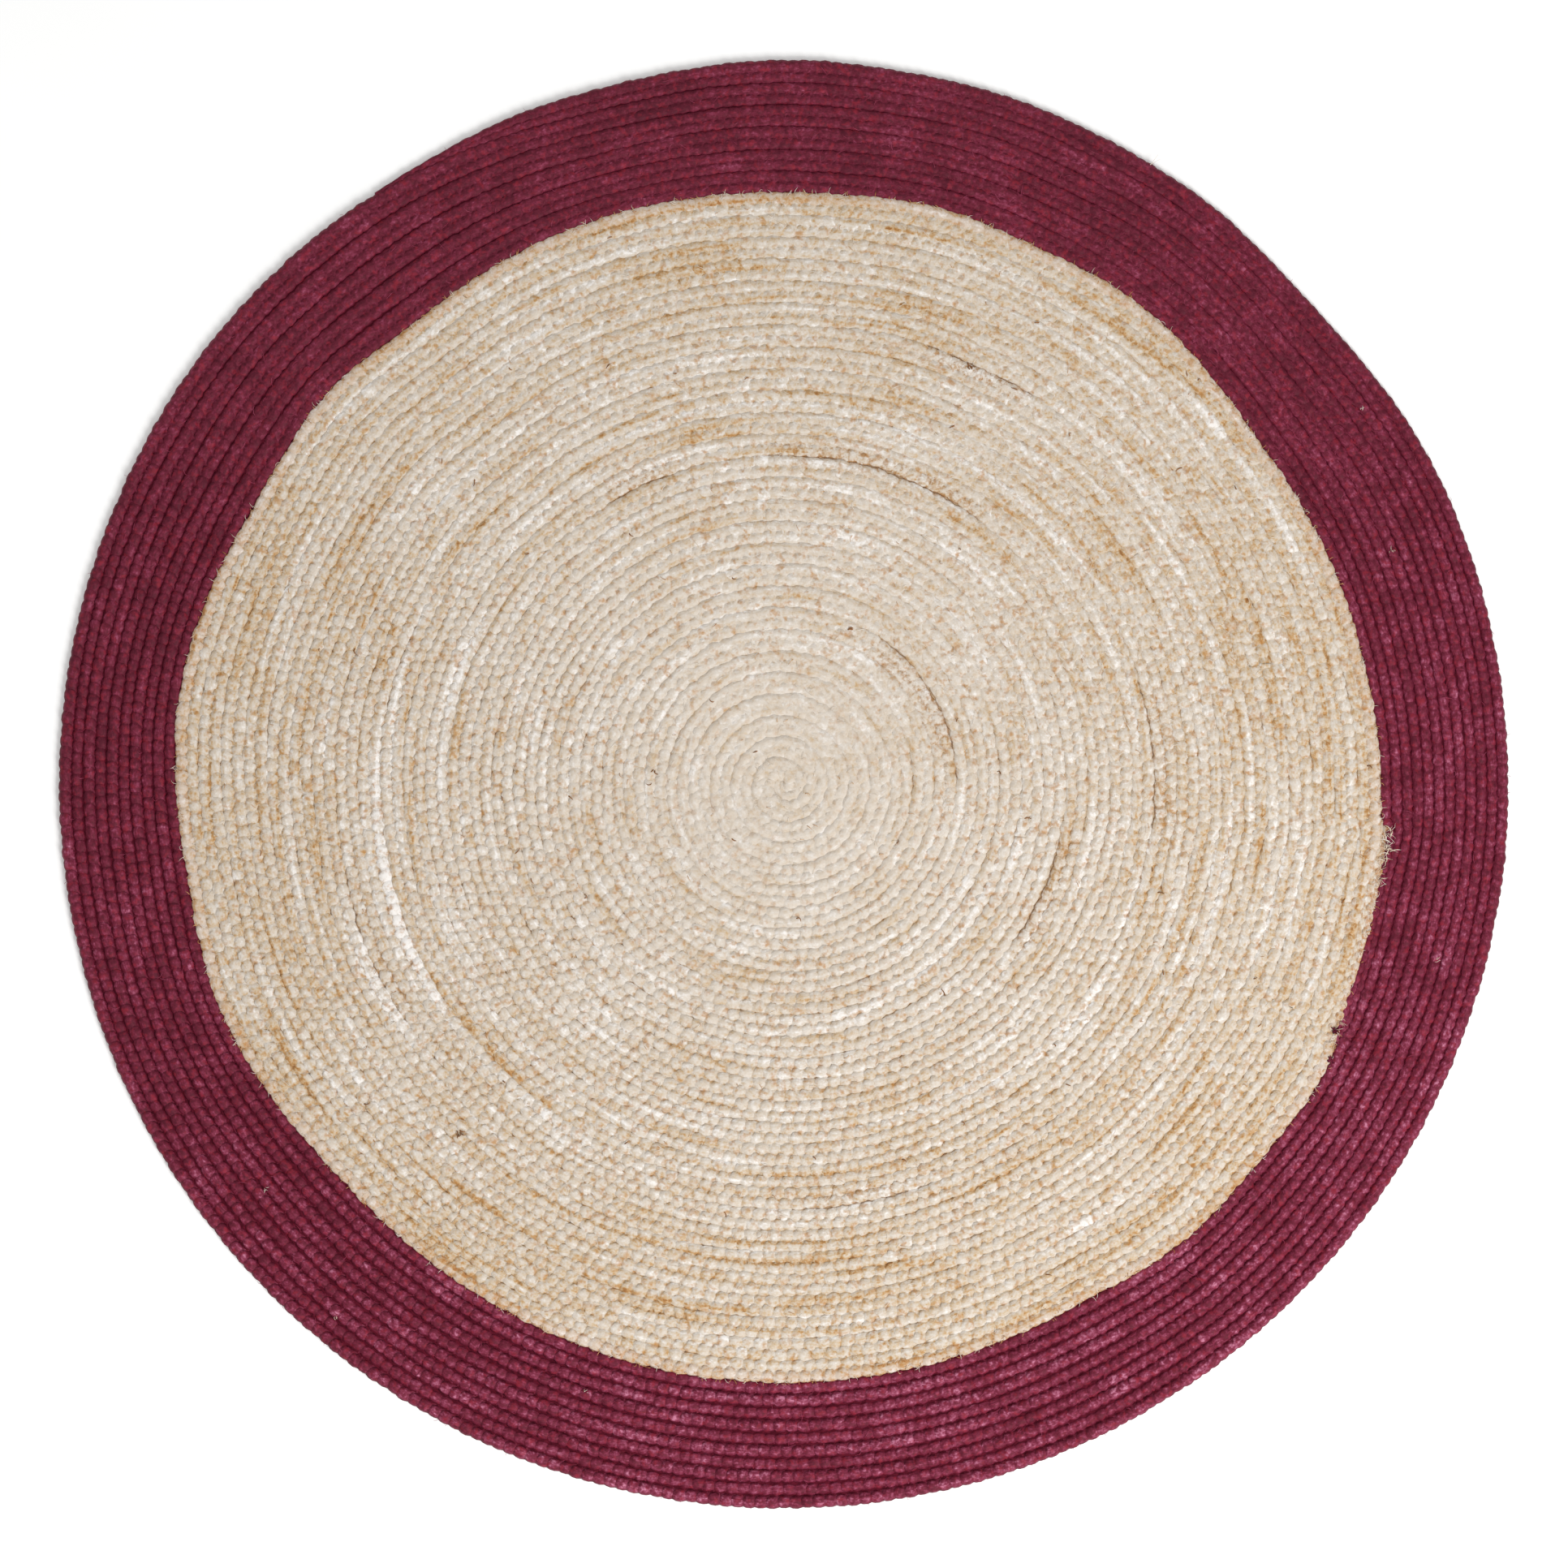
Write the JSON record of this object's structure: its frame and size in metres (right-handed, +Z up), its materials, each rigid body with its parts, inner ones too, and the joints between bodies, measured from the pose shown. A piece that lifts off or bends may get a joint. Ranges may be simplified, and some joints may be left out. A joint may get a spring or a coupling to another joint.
{
  "type": "round braided jute rug",
  "caption": "Round flat rug of natural jute braid sewn in a spiral, with a wide burgundy jute border; the colour change is slightly wavy and steps where the braid ends.",
  "frame": {"origin": "under the rug's centre, on the floor that it lies on", "axes": "+Z up out of the pile side; +X towards the side where the natural braid ends in two half-row steps, and the coil winds counter-clockwise seen from +Z"},
  "size_m": [1.2, 1.2, 0.009],
  "materials": {
    "natural_jute": "matt undyed jute fibre, straw coloured",
    "maroon_jute": "dyed jute fibre with a slight sheen, burgundy"
  },
  "bodies": {
    "root": {"natural_coil": "natural_jute", "maroon_border": "maroon_jute"}
  },
  "joints": []
}
